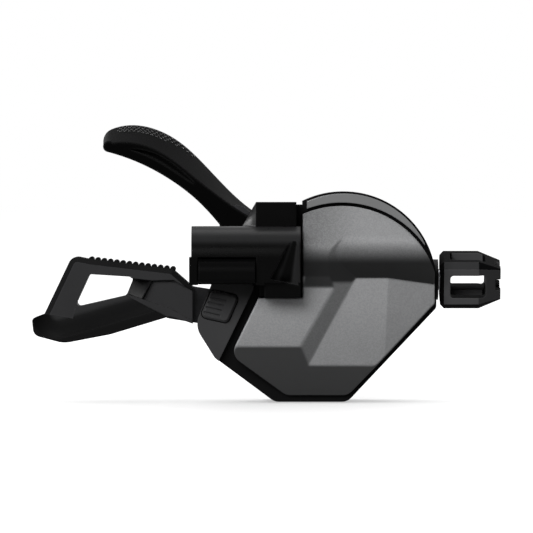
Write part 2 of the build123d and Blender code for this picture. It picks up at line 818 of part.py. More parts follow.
def main_pad_profile(upper):
    """One face of the main thumb pad: an upper curve, a round tip, the lower curve and the root."""
    lower = Spline(*main_pad_lower)
    tip = ThreePointArc(upper[-1], ((upper[-1][0] + main_pad_lower[0][0]) / 2 - main_tip_bulge,
                        (upper[-1][1] + main_pad_lower[0][1]) / 2), main_pad_lower[0])
    return make_face([Spline(*upper), tip, lower, Line(main_pad_lower[-1], upper[0])])


def main_lever_pad():
    """The thumb pad: a long bent paddle whose top leans towards the front, with a grooved front face."""
    front = main_front - moving_gap
    back = front + main_pad_depth
    pad = loft([
        Plane.XZ.offset(-front) * main_pad_profile(main_pad_lip),
        Plane.XZ.offset(-back) * main_pad_profile(main_pad_upper),
    ], ruled=True)
    groove = make_face([Spline(*main_pad_groove_top), Spline(*main_pad_groove_floor)])
    pad = pad - slab(groove, front, front + main_groove_depth)
    return pad - slab(main_arm_outline(), main_front, main_back)


def release_lever_pad():
    """The loop pad: a frame with a window, a ribbed upper bar and a dished lower lip."""
    back = release_back
    frame_front = back - loop_frame_depth
    front = back - loop_depth
    outer = outline_of(loop_points, loop_rounds)
    window = outline_of(loop_window, window_round / 2)
    lip_area = make_face(Polyline(*loop_lip, close=True))
    frame = slab(outer - lip_area, frame_front, back)
    front_edges = frame.faces().sort_by(Axis.Y)[0].edges()
    bar_edges = [edge for edge in front_edges if edge.center().Z > loop_window[0][1]]
    frame = chamfer(bar_edges, bar_chamfer)
    lip = slab(outer & lip_area, front, back)
    rim_start, rim_end = Vector(*loop_rim[0]), Vector(*loop_rim[1])
    along = rim_end - rim_start
    dish_set = loop_depth - loop_frame_depth - dish_radius - seat_gap
    dish_axis = Plane((rim_start.X, front, rim_start.Y), x_dir=(0, 1, 0), z_dir=(along.X, 0, along.Y))
    dish = extrude(dish_axis * Pos(dish_set, dish_rise) * Circle(dish_radius), along.length)
    dish = dish + dish_axis * Pos(dish_set, dish_rise, 0) * Sphere(dish_radius)
    pad = frame + (lip - dish)
    pad = pad - slab(window, front, back)
    upper, lower = loop_bevel[0], loop_bevel[-1]
    edge = [upper, (upper[0] + seat_gap, upper[1]), (lower[0] + seat_gap, lower[1]), lower]
    bevel = loft([
        Plane.XZ.offset(-frame_front) * make_face(Polyline(*loop_bevel, close=True)),
        Plane.XZ.offset(-back) * make_face(Polyline(*edge, close=True)),
    ], ruled=True)
    pad = pad - bevel
    hollow = make_face(Polyline(*loop_block, close=True))
    pad = pad - slab(hollow, frame_front, frame_front + loop_block_depth)
    start, end = Vector(*loop_points[1]), Vector(*loop_points[2])
    for i in range(rib_count):
        spot = start + (end - start) * i / (rib_count - 1)
        pad = pad + disc((spot.X, spot.Y), rib_radius, frame_front + 2 * bar_chamfer, back - rib_radius)
    return pad - slab(arm_outline(release_arm_end, release_arm_width), release_front, release_back)


# Cable adjuster

def knob_face(i):
    """A plane along the knob that looks out through one of its sides."""
    turn = radians(360 / knob_sides * i - knob_tilt)
    middle = (knob_left + knob_wall + knob_right - end_wall) / 2
    return Plane((middle, cable_y, adjuster_z), x_dir=(1, 0, 0), z_dir=(0, -cos(turn), sin(turn)))


def adjuster_knob():
    """The skeleton knob: a four-sided cage with a tapered end, open windows and a notched outlet."""
    square = Rot(0, 0, knob_tilt) * Rectangle(knob_flats, knob_flats)
    outline = chamfer(square.vertices(), knob_edge)
    base = along_x(outline, knob_left, cable_y, adjuster_z, knob_length - knob_nose)
    base = chamfer(base.faces().sort_by(Axis.X)[0].edges(), knob_shoulder)
    nose_start = Plane((knob_right - knob_nose, cable_y, adjuster_z), x_dir=(0, 1, 0), z_dir=(1, 0, 0))
    nose = extrude(nose_start * outline, knob_nose, taper=degrees(atan2(knob_taper, knob_nose)))
    body = base + nose
    body = body - adjuster_cylinder(knob_bore, knob_left + knob_wall, knob_right - end_wall)
    body = body - adjuster_cylinder(sleeve_radius, knob_left, knob_left + knob_wall)
    body = body - adjuster_cylinder(casing_radius, knob_right - end_wall, knob_right)
    window_length = knob_right - end_wall - knob_left - knob_wall
    opening = RectangleRounded(window_length, window_height, window_round / 2)
    notch_middle = (window_length - outlet_notch_depth) / 2 + end_wall
    notch = Pos(notch_middle, 0) * Rectangle(outlet_notch_depth, outlet_notch)
    for i in range(knob_sides // 2):
        body = body - extrude(knob_face(i) * opening, knob_flats, both=True)
        body = body - extrude(knob_face(i) * notch, knob_flats, both=True)
    return body


def adjuster_sleeve():
    """The hollow bolt that the knob turns in the neck of the housing."""
    left = body_right - neck_length
    right = knob_left + knob_wall
    return adjuster_cylinder(sleeve_radius, left, right) - adjuster_cylinder(cable_bore, left, right)


def adjuster_ring():
    """The rubber ring in the neck that gives the knob its drag."""
    thickness = (seal_radius - sleeve_radius - seat_gap / 2) / 2
    torus = Torus(sleeve_radius + seat_gap / 2 + thickness, thickness)
    return Plane((neck_end - thickness, cable_y, adjuster_z), z_dir=(1, 0, 0)) * torus


# Springs of the levers

def main_lever_spring():
    """The coil spring round the boss behind the main arm."""
    radius = spring_boss_radius + 2 * wire_radius
    height = rear_wall_front - clip_back - 2 * moving_gap - 2 * wire_radius
    start = clip_back + moving_gap + wire_radius
    helix = Helix(height / spring_turns, height, radius)
    coil = sweep(Plane(helix @ 0, z_dir=helix % 0) * Circle(wire_radius), path=helix)
    return Plane((pivot[0], start, pivot[1]), z_dir=(0, 1, 0)) * coil


def release_lever_spring():
    """The wire spring between the two arms that centres the release lever."""
    y = (release_back + main_front) / 2
    radius = hub_radius + 2 * wire_radius
    return hairpin(pivot, radius, y, release_leg_angle, 180 - release_leg_angle, release_leg)


nodes = {
    "main_cover": main_cover(),
    "housing": housing(),
    "rear_cover": rear_cover(),
    "accent_strip": accent_strip(),
    "cable_cap": cable_cap(),
    "cable_access_plug": cable_access_plug(),
    "mounting_bracket": mounting_bracket(),
    "clamp_nut": clamp_nut(),
    "bracket_screws": screws(bracket_screw_spots, seat_back + screw_head_height, housing_front - screw_bite),
    "base_plate": base_plate(),
    "base_plate_screws": screws(
        plate_screw_spots, housing_front - screw_head_height, plate_back + screw_bite),
    "cover_screws": screws(
        cover_screw_spots, plate_back + screw_head_height, housing_front - cover_screw_bite),
    "main_axle": main_axle(),
    "axle_nut": axle_nut(),
    "axle_clip": axle_clip(),
    "reel_washer": washer(plate_back),
    "arm_washer": washer(reel_back),
    "arm_spacer": ring(pivot, hub_radius, axle_radius, release_back, main_front),
    "rear_washer": washer(main_back),
    "wire_reel": wire_reel(),
    "reel_spring": reel_spring(),
    "winding_pawl": pawl(winding_pin, winding_pin_reach, winding_pin_angle, winding_front),
    "winding_pawl_pin": disc(winding_pin, pawl_pin_radius, winding_front, main_back),
    "positioning_pawl": pawl(holding_pin, holding_pin_reach, holding_pin_angle, holding_front),
    "positioning_pawl_pin": disc(holding_pin, pawl_pin_radius, plate_front, holding_front + ratchet_width),
    "main_lever_arm": main_lever_arm(),
    "main_lever_pad": main_lever_pad(),
    "main_lever_spring": main_lever_spring(),
    "release_lever_arm": release_lever_arm(),
    "release_lever_pad": release_lever_pad(),
    "release_lever_spring": release_lever_spring(),
    "adjuster_sleeve": adjuster_sleeve(),
    "adjuster_knob": adjuster_knob(),
    "adjuster_ring": adjuster_ring(),
}

os.makedirs("parts", exist_ok=True)
for name, shape in nodes.items():
    export_step(shape, f"parts/{name}.step")
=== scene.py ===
import bmesh
import bpy
import numpy as np
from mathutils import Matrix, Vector


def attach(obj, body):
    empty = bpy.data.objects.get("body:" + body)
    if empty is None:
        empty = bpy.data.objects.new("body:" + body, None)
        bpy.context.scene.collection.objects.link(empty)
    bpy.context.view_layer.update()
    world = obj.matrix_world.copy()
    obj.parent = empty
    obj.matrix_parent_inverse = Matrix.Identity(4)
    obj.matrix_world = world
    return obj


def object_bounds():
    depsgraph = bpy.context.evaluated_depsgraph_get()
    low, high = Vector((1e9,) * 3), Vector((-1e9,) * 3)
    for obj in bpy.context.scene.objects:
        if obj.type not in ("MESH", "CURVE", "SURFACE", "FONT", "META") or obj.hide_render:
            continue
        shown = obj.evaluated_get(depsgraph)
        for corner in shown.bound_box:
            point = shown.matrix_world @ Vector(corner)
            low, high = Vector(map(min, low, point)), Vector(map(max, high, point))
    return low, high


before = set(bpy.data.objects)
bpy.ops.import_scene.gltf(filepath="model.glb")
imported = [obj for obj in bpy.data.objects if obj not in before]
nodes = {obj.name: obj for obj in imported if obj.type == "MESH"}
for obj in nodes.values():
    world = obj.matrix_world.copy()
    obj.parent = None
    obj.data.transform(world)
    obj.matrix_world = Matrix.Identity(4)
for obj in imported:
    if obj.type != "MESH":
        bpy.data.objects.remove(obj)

cad_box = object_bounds()


# Front cover.
# A thin pressed shell with a leaning dome and stepped planes, sprayed in satin grey with fine metal
# flakes. It drops over the front of the housing, and two screws from behind hold it.

edge_samples, shade_samples = 6, 8


def new_group(name, inputs, outputs):
    """An empty shader group with named number inputs and the outputs given as name and kind."""
    group = bpy.data.node_groups.new(name, "ShaderNodeTree")
    for label, value in inputs.items():
        socket = group.interface.new_socket(label, in_out="INPUT", socket_type="NodeSocketFloat")
        socket.default_value = value
    for label, kind in outputs.items():
        group.interface.new_socket(label, in_out="OUTPUT", socket_type=kind)
    return group, group.nodes.new("NodeGroupInput"), group.nodes.new("NodeGroupOutput")


def add(tree, kind, **settings):
    """A node with its plain settings and, by name, the values of its unlinked inputs."""
    node = tree.nodes.new(kind)
    for label, value in settings.items():
        if label in node.inputs:
            node.inputs[label].default_value = value
        else:
            setattr(node, label, value)
    return node


def rounded_edge_group():
    """Edges of moulded and cut pieces: the normal eased over a small radius, and a mask of the edge.

    The mask is one minus the dot product of the eased and the true normal, raised by a gain.
    """
    group, given, out = new_group(
        "rounded_edge", {"Radius": 0.0003, "Gain": 4.0},
        {"Normal": "NodeSocketVector", "Edge": "NodeSocketFloat"})
    eased = add(group, "ShaderNodeBevel", samples=edge_samples)
    true = add(group, "ShaderNodeNewGeometry")
    dot = add(group, "ShaderNodeVectorMath", operation="DOT_PRODUCT")
    less = add(group, "ShaderNodeMath", operation="SUBTRACT")
    less.inputs[0].default_value = 1.0
    gain = add(group, "ShaderNodeMath", operation="MULTIPLY", use_clamp=True)
    group.links.new(given.outputs["Radius"], eased.inputs["Radius"])
    group.links.new(eased.outputs["Normal"], dot.inputs[0])
    group.links.new(true.outputs["Normal"], dot.inputs[1])
    group.links.new(dot.outputs["Value"], less.inputs[1])
    group.links.new(less.outputs[0], gain.inputs[0])
    group.links.new(given.outputs["Gain"], gain.inputs[1])
    group.links.new(eased.outputs["Normal"], out.inputs["Normal"])
    group.links.new(gain.outputs[0], out.inputs["Edge"])
    return group


patch_ratio = 30.0


def surface_grain_group():
    """Fine grain of a moulded or sprayed skin, and broad patches where hands have polished it.

    Grain is noise at the given count per metre, patches are the same noise made larger by a ratio.
    """
    group, given, out = new_group(
        "surface_grain", {"Scale": 3000.0},
        {"Grain": "NodeSocketFloat", "Patches": "NodeSocketFloat"})
    place = add(group, "ShaderNodeTexCoord")
    fine = add(group, "ShaderNodeTexNoise", Detail=3.0, Roughness=0.6)
    broad = add(group, "ShaderNodeTexNoise", Detail=4.0, Roughness=0.55)
    larger = add(group, "ShaderNodeMath", operation="DIVIDE")
    larger.inputs[1].default_value = patch_ratio
    group.links.new(place.outputs["Object"], fine.inputs["Vector"])
    group.links.new(place.outputs["Object"], broad.inputs["Vector"])
    group.links.new(given.outputs["Scale"], fine.inputs["Scale"])
    group.links.new(given.outputs["Scale"], larger.inputs[0])
    group.links.new(larger.outputs[0], broad.inputs["Scale"])
    group.links.new(fine.outputs["Fac"], out.inputs["Grain"])
    group.links.new(broad.outputs["Fac"], out.inputs["Patches"])
    return group


rounded_edge = rounded_edge_group()
surface_grain = surface_grain_group()
coat_roughness = 0.08
edge_wear_highlight_gain, edge_wear_highlight_lift = 2.2, 0.01
polished_patch, dull_patch = 0.3, 0.7
gloss_swing = 0.05


def skin(name, colour, roughness, grain, depth, bump, edge, edge_light, tone,
         metallic=0.0, specular=0.5, coat=0.0):
    """A skin with grain, hand-polished patches and softly rounded edges, lighter from wear and a
    painted highlight.

    The colour runs from darker to lighter with the patches and towards a lighter tone on the edges,
    for wear and a painted highlight; the roughness varies with the patches and the normal adds the
    grain to the rounded edge.
    """
    material = bpy.data.materials.new(name)
    material.use_nodes = True
    tree = material.node_tree
    shader = tree.nodes["Principled BSDF"]
    shader.inputs["Metallic"].default_value = metallic
    shader.inputs["Specular IOR Level"].default_value = specular
    shader.inputs["Coat Weight"].default_value = coat
    shader.inputs["Coat Roughness"].default_value = coat_roughness
    grains = add(tree, "ShaderNodeGroup", node_tree=surface_grain, Scale=grain)
    edges = add(tree, "ShaderNodeGroup", node_tree=rounded_edge, Radius=edge)
    base = np.array(colour)
    tones = add(tree, "ShaderNodeMix", data_type="RGBA")
    tones.inputs["A"].default_value = (*(base * (1 - tone)), 1)
    tones.inputs["B"].default_value = (*(base * (1 + tone)), 1)
    # The edges turn lighter: partly wear, partly a painted highlight.
    edge_wear_and_highlight = add(tree, "ShaderNodeMix", data_type="RGBA")
    edge_wear_and_highlight.inputs["B"].default_value = (*np.minimum(base * edge_wear_highlight_gain + edge_wear_highlight_lift, 1), 1)
    share = add(tree, "ShaderNodeMath", operation="MULTIPLY", use_clamp=True)
    share.inputs[1].default_value = edge_light
    gloss = add(tree, "ShaderNodeMapRange")
    gloss.inputs["From Min"].default_value = polished_patch
    gloss.inputs["From Max"].default_value = dull_patch
    gloss.inputs["To Min"].default_value = roughness - gloss_swing
    gloss.inputs["To Max"].default_value = roughness + gloss_swing
    relief = add(tree, "ShaderNodeBump", Strength=bump, Distance=depth)
    tree.links.new(grains.outputs["Patches"], tones.inputs["Factor"])
    tree.links.new(tones.outputs["Result"], edge_wear_and_highlight.inputs["A"])
    tree.links.new(edges.outputs["Edge"], share.inputs[0])
    tree.links.new(share.outputs[0], edge_wear_and_highlight.inputs["Factor"])
    tree.links.new(edge_wear_and_highlight.outputs["Result"], shader.inputs["Base Color"])
    tree.links.new(grains.outputs["Patches"], gloss.inputs["Value"])
    tree.links.new(gloss.outputs["Result"], shader.inputs["Roughness"])
    tree.links.new(grains.outputs["Grain"], relief.inputs["Height"])
    tree.links.new(edges.outputs["Normal"], relief.inputs["Normal"])
    tree.links.new(relief.outputs["Normal"], shader.inputs["Normal"])
    return material


def dress(material, *names):
    """Gives CAD nodes one finish in place of their own materials."""
    for name in names:
        mesh = nodes[name].data
        mesh.materials.clear()
        mesh.materials.append(material)


flake_paint = skin(
    "cover_flake_paint", (0.168, 0.1695, 0.172), roughness=0.46, metallic=0.5, specular=0.25,
    grain=9000.0, depth=0.000006, bump=0.35, edge=0.0006, edge_light=0.4, tone=0.05)
flake_size = 0.0002
flake_tones = (0.91, 1.09)
# Painted shade: the colour darkens towards the foot and on the left of the crown beside the bracket.
painted_shade_foot, painted_shade_head = -0.018, -0.002
foot_shade_tone = 0.8
crown_left, crown_right = 0.0175, 0.034
crown_foot, crown_head = 0.004, 0.009
crown_shadow_tone = 0.42
# Painted shade: faces that look down take a dark shade colour in place of the sprayed grey. These are
# the lower bevel, the steps and the band under the dome, where the shade fades in by height.
low_shade_colour, high_shade_colour = (0.031, 0.0313, 0.0318), (0.005, 0.0051, 0.0053)
shade_blur = 0.0011
bevel_foot, bevel_head = -0.0208, -0.0202
shaded_facing, lit_facing = -0.38, -0.1
hollow_foot, hollow_head = -0.0008, 0.0016
hollow_side = 0.7
fade_foot, fade_head = 0.0009, 0.0017
band_foot, band_head = 0.0042, 0.0092


def ranged(tree, value, low, high, first, last):
    """A value carried smoothly from first to last while the given one goes from low to high."""
    node = add(tree, "ShaderNodeMapRange", interpolation_type="SMOOTHSTEP")
    for label, number in (("From Min", low), ("From Max", high), ("To Min", first), ("To Max", last)):
        node.inputs[label].default_value = number
    tree.links.new(value, node.inputs["Value"])
    return node.outputs["Result"]


def math(tree, operation, first, second):
    """A sum, product or other operation on two values of a node tree."""
    node = add(tree, "ShaderNodeMath", operation=operation)
    tree.links.new(first, node.inputs[0])
    tree.links.new(second, node.inputs[1])
    return node.outputs[0]


tree = flake_paint.node_tree
shader = tree.nodes["Principled BSDF"]
sprayed = shader.inputs["Base Color"].links[0].from_socket
place = add(tree, "ShaderNodeTexCoord")
facing = add(tree, "ShaderNodeSeparateXYZ")
spot = add(tree, "ShaderNodeSeparateXYZ")
flakes = add(tree, "ShaderNodeTexVoronoi", Scale=1 / flake_size)
glint = add(tree, "ShaderNodeSeparateColor")
shade_normal = add(tree, "ShaderNodeBevel", samples=shade_samples, Radius=shade_blur)
tree.links.new(shade_normal.outputs["Normal"], facing.inputs[0])
tree.links.new(place.outputs["Object"], spot.inputs[0])
tree.links.new(place.outputs["Object"], flakes.inputs["Vector"])
tree.links.new(flakes.outputs["Color"], glint.inputs[0])
height = spot.outputs["Z"]
# Painted shade in the hollow under the dome: faces there that look right count as looking down.
hollow = ranged(tree, height, hollow_foot, hollow_head, 0.0, hollow_side)
aside = math(tree, "MULTIPLY", hollow, facing.outputs["X"])
upward = math(tree, "SUBTRACT", facing.outputs["Z"], aside)
upward = math(tree, "SUBTRACT", upward, ranged(tree, height, bevel_foot, bevel_head, 1.0, 0.0))
# Share of the sprayed colour; the rest of the colour is the painted shade.
cover = math(tree, "MULTIPLY", ranged(tree, upward, shaded_facing, lit_facing, 0.0, 1.0),
             ranged(tree, height, fade_foot, fade_head, 1.0, 0.0))
cover = math(tree, "ADD", cover, ranged(tree, height, band_foot, band_head, 0.0, 1.0))
# Random flake tones times painted shade that darkens towards the foot; painted shadow on the crown's
# left is taken off.
tone = math(tree, "MULTIPLY", ranged(tree, height, painted_shade_foot, painted_shade_head, foot_shade_tone, 1.0),
            ranged(tree, glint.outputs[0], 0.0, 1.0, *flake_tones))
crown_shadow = math(tree, "MULTIPLY", ranged(tree, height, crown_foot, crown_head, 0.0, 1.0),
            ranged(tree, spot.outputs["X"], crown_left, crown_right, crown_shadow_tone, 0.0))
tone = math(tree, "SUBTRACT", tone, crown_shadow)
toned = add(tree, "ShaderNodeMix", data_type="RGBA", blend_type="MULTIPLY")
toned.inputs["Factor"].default_value = 1.0
shade_mix = add(tree, "ShaderNodeMix", data_type="RGBA")
painted_shade_colour = add(tree, "ShaderNodeMix", data_type="RGBA")
painted_shade_colour.inputs["A"].default_value = (*low_shade_colour, 1)
painted_shade_colour.inputs["B"].default_value = (*high_shade_colour, 1)
tree.links.new(ranged(tree, height, painted_shade_foot, painted_shade_head, 0.0, 1.0), painted_shade_colour.inputs["Factor"])
tree.links.new(painted_shade_colour.outputs["Result"], shade_mix.inputs["A"])
tree.links.new(sprayed, toned.inputs["A"])
tree.links.new(tone, toned.inputs["B"])
tree.links.new(cover, shade_mix.inputs["Factor"])
tree.links.new(toned.outputs["Result"], shade_mix.inputs["B"])
tree.links.new(shade_mix.outputs["Result"], shader.inputs["Base Color"])
dress(flake_paint, "main_cover")


# Accent strip.
# A narrow moulded strip with a gloss lacquer that fills the gap between the cover and the top of the
# housing. It is pressed in from the front.

strip_lacquer = skin(
    "strip_gloss_lacquer", (0.13, 0.1315, 0.133), roughness=0.24, metallic=0.3, coat=0.6,
    grain=2500.0, depth=0.000003, bump=0.1, edge=0.0003, edge_light=0.3, tone=0.04)
dress(strip_lacquer, "accent_strip")


# Housing and rear cover.
# Two black moulded shells of glass-filled plastic with a fine eroded texture. Screws through the
# carrier plate hold them together, and the rear one has the slot of the lever arms.

front_facing, side_facing = -0.95, -0.82


def front_faces_group():
    """A mask of the faces that look to the front within a range of depth.

    It is the smooth step of the normal's forward part times two smooth steps of the depth.
    """
    group, given, out = new_group(
        "front_faces", {"Near": -1.0, "Far": 1.0, "Blend": 0.0005}, {"Front": "NodeSocketFloat"})
    place = add(group, "ShaderNodeTexCoord")
    facing = add(group, "ShaderNodeSeparateXYZ")
    spot = add(group, "ShaderNodeSeparateXYZ")
    group.links.new(place.outputs["Normal"], facing.inputs[0])
    group.links.new(place.outputs["Object"], spot.inputs[0])
    front = ranged(group, facing.outputs["Y"], front_facing, side_facing, 1.0, 0.0)
    past = math(group, "SUBTRACT", spot.outputs["Y"], given.outputs["Near"])
    past = math(group, "DIVIDE", past, given.outputs["Blend"])
    short = math(group, "SUBTRACT", given.outputs["Far"], spot.outputs["Y"])
    short = math(group, "DIVIDE", short, given.outputs["Blend"])
    within = math(group, "MULTIPLY", ranged(group, past, 0.0, 1.0, 0.0, 1.0),
                  ranged(group, short, 0.0, 1.0, 0.0, 1.0))
    group.links.new(math(group, "MULTIPLY", front, within), out.inputs["Front"])
    return group


front_faces = front_faces_group()


def paint_light_and_shade_by_facing(material, colour, near=-1.0, far=1.0):
    """Paints light and shade by facing: a finish takes another colour wherever its face isn't a front
    face in the range of depth.
    """
    tree = material.node_tree
    shader = tree.nodes["Principled BSDF"]
    mask = add(tree, "ShaderNodeGroup", node_tree=front_faces, Near=near, Far=far)
    sides = add(tree, "ShaderNodeMix", data_type="RGBA")
    sides.inputs["A"].default_value = (*colour, 1)
    tree.links.new(mask.outputs["Front"], sides.inputs["Factor"])
    tree.links.new(shader.inputs["Base Color"].links[0].from_socket, sides.inputs["B"])
    tree.links.new(sides.outputs["Result"], shader.inputs["Base Color"])


shell_black = skin(
    "shell_black_moulding", (0.0025, 0.0025, 0.0026), roughness=0.5, specular=0.03,
    grain=3500.0, depth=0.00002, bump=0.4, edge=0.0004, edge_light=0.35, tone=0.15)
# Painted light and shade: the front faces keep the near-black colour and all other faces take a
# lighter one.
paint_light_and_shade_by_facing(shell_black, (0.02, 0.02, 0.0205))
dress(shell_black, "housing", "rear_cover")


# Cable cap and access plug.
# A dark grey lid over the left wing, with a ribbed plug that a fingernail pulls out to change the
# cable. Both are moulded in a slightly lighter and smoother plastic than the shells.

cap_grey = skin(
    "cap_grey_moulding", (0.034, 0.034, 0.035), roughness=0.45, specular=0.08,
    grain=3000.0, depth=0.000015, bump=0.3, edge=0.00035, edge_light=0.3, tone=0.12)
dress(cap_grey, "cable_cap", "cable_access_plug")


# Mounting bracket and clamp nut.
# A forged alloy bracket with a black coat sits on the brake lever's clamp. The threaded block slides
# into its slot, plated in gloss black, and two screws from inside the housing hold the bracket.

bracket_coat = skin(
    "bracket_black_coat", (0.0008, 0.0008, 0.0008), roughness=0.3, specular=0.03,
    grain=4500.0, depth=0.00001, bump=0.3, edge=0.0005, edge_light=0.4, tone=0.12)
# Painted light and shade: the front faces keep the near-black colour and all other faces take a
# lighter one.
paint_light_and_shade_by_facing(bracket_coat, (0.017, 0.017, 0.0174))
dress(bracket_coat, "mounting_bracket")
nut_plating = skin(
    "nut_black_plating", (0.002, 0.002, 0.0021), roughness=0.34, specular=0.015,
    grain=2000.0, depth=0.000004, bump=0.2, edge=0.0004, edge_light=0.5, tone=0.1)
dress(nut_plating, "clamp_nut")


same_point = 1e-7


def shown(name, data):
    """A new object of the scene for a mesh, a lamp or a camera."""
    item = bpy.data.objects.new(name, data)
    bpy.context.scene.collection.objects.link(item)
    return item


def grids_mesh(name, grids):
    """A mesh of quads between neighbouring points of one grid, or of several of equal size."""
    index = np.arange(grids[..., 0].size).reshape(grids.shape[:-1])
    faces = np.stack([index[..., :-1, :-1], index[..., 1:, :-1],
                      index[..., 1:, 1:], index[..., :-1, 1:]], -1)
    mesh = bpy.data.meshes.new(name)
    mesh.from_pydata(grids.reshape(-1, 3), [], faces.reshape(-1, 4))
    return mesh


def smooth_piece(name, grids):
    """A smoothly shaded piece from grids, with points that fall together merged."""
    mesh = grids_mesh(name, grids)
    shape = bmesh.new()
    shape.from_mesh(mesh)
    bmesh.ops.remove_doubles(shape, verts=shape.verts, dist=same_point)
    shape.to_mesh(mesh)
    shape.free()
    mesh.shade_smooth()
    return shown(name, mesh)


ridge_inward = np.array([-0.1, 1.0, -0.1, -0.1, -0.1])
ridge_along = np.array([-0.4, 0.0, 0.4, 0.0, -0.4])
steps_per_turn = 36
run_outs_per_turn = 4


def thread_points(bore, height, pitch, foot, top):
    """The ridge of a screw thread as a grid: a triangle carried round the bore along a helix.

    The radius is the bore less the profile's height, the rise is the turn times the pitch, and both
    ends of the profile shrink to a point on the wall.
    """
    turns = (top - foot) / pitch
    turn, corner = np.meshgrid(np.linspace(0, turns, int(turns * steps_per_turn)),
                               np.arange(len(ridge_inward)), indexing="ij")
    taper = np.clip(run_outs_per_turn * np.minimum(turn, turns - turn), 0, 1)
    radius = bore - ridge_inward[corner] * height * taper
    angle = 2 * np.pi * turn
    rise = foot + turn * pitch + ridge_along[corner] * pitch * taper
    return np.stack([radius * np.cos(angle), radius * np.sin(angle), rise], -1)


thread_bore, thread_height, thread_pitch = 0.0021, 0.0002, 0.0008
thread_foot, thread_top = 0.0004, 0.0046
thread = smooth_piece("clamp_nut_thread", thread_points(
    thread_bore, thread_height, thread_pitch, thread_foot, thread_top))
thread.data.materials.append(nut_plating)
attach(thread, "shifter_body")


# Finger pads.
# Glass-filled nylon moulded over the ends of the steel arms, dark and satin, with smooth edges that
# are lighter from wear and a painted highlight.
# Raised dots on the top of the main pad keep the thumb from slipping.

pad_black = skin(
    "main_pad_black_nylon", (0.0018, 0.0018, 0.0018), roughness=0.5, specular=0.004,
    grain=3200.0, depth=0.00001, bump=0.3, edge=0.0009, edge_light=1.1, tone=0.14)
# Painted light and shade: the front faces keep the near-black colour and all other faces take a
# lighter one.
paint_light_and_shade_by_facing(pad_black, (0.0045, 0.0045, 0.0046))
dress(pad_black, "main_lever_pad")


def dome_points(radius, height, rings, sides):
    """A flattened ball as a grid.

    The height goes with the cosine of the polar angle and the radius with its sine.
    """
    polar, turn = np.meshgrid(np.linspace(0, np.pi, rings), np.linspace(0, 2 * np.pi, sides + 1),
                              indexing="ij")
    return np.stack([radius * np.sin(polar) * np.cos(turn), radius * np.sin(polar) * np.sin(turn),
                     height * np.cos(polar)], -1)


ray_height = 1.0


def tops_of(piece, spots):
    """Points and normals where rays straight down from the spots meet a piece."""
    hits = [piece.ray_cast((x, y, ray_height), (0, 0, -1)) for x, y in spots]
    return np.array([hit[1] for hit in hits]), np.array([hit[2] for hit in hits])


def repeated_grid(grid, places, normals):
    """Copies of a grid, each with its third axis along a normal and its origin at a place."""
    side = np.cross([0.0, 1.0, 0.0], normals)
    side /= np.linalg.norm(side, axis=1, keepdims=True)
    frames = np.stack([side, np.cross(normals, side), normals], 1)
    return places[:, None, None, :] + np.einsum("rcj,njk->nrck", grid, frames)


dot_radius, dot_height = 0.00034, 0.00022
dot_rings, dot_sides = 7, 12
dot_pitch = 0.00106
dot_start = -0.0262
dot_rows = [(0.0331, 0, 18), (0.0320, 0.5, 17), (0.0309, 0, 14), (0.0298, 0.5, 11)]
dot_spots = [(dot_start + (i + shift) * dot_pitch, y)
             for y, shift, count in dot_rows for i in range(count)]
dot_places, dot_normals = tops_of(nodes["main_lever_pad"], dot_spots)
dots = smooth_piece("main_pad_dots", repeated_grid(
    dome_points(dot_radius, dot_height, dot_rings, dot_sides), dot_places, dot_normals))
dot_gloss = skin(
    "pad_dot_gloss", (0.01, 0.01, 0.0102), roughness=0.35, specular=0.12,
    grain=5000.0, depth=0.000004, bump=0.2, edge=0.0001, edge_light=0.2, tone=0.1)
dots.data.materials.append(dot_gloss)
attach(dots, "main_lever")
loop_dark = skin(
    "loop_dark_nylon", (0.03, 0.03, 0.031), roughness=0.5, specular=0.02,
    grain=3200.0, depth=0.000012, bump=0.3, edge=0.0004, edge_light=0.1, tone=0.14)
# Painted shade: only the front faces between these depths keep the grey, and the chamfers, window
# walls, dish and ribs take a darker colour.
loop_front, loop_hollow = 0.0119, 0.0142
paint_light_and_shade_by_facing(loop_dark, (0.0055, 0.0055, 0.0056), loop_front, loop_hollow)
dress(loop_dark, "release_lever_pad")


# Lever arms, carrier plate, axle and the pieces of the ratchet.
# Stamped and turned steel, black oxide on the arms and bright inside the housing. The works are fixed
# to the carrier plate, and the slot of the rear cover shows a little of them.

streak_scale = 6000.0
streak_edge = 0.0002
streak_tone, streak_gloss = 0.2, 0.08
streak_depth, streak_bump = 0.000005, 0.2


def streaks_group():
    """Fine parallel lines of rolled or turned metal: noise stretched along X by the given length."""
    group, given, out = new_group("metal_streaks", {"Length": 0.04}, {"Streaks": "NodeSocketFloat"})
    place = add(group, "ShaderNodeTexCoord")
    stretch = add(group, "ShaderNodeCombineXYZ", Y=1.0, Z=1.0)
    scaled = add(group, "ShaderNodeVectorMath", operation="MULTIPLY")
    lines = add(group, "ShaderNodeTexNoise", Scale=streak_scale, Detail=2.0)
    group.links.new(given.outputs["Length"], stretch.inputs["X"])
    group.links.new(place.outputs["Object"], scaled.inputs[0])
    group.links.new(stretch.outputs[0], scaled.inputs[1])
    group.links.new(scaled.outputs[0], lines.inputs["Vector"])
    group.links.new(lines.outputs["Fac"], out.inputs["Streaks"])
    return group


metal_streaks = streaks_group()


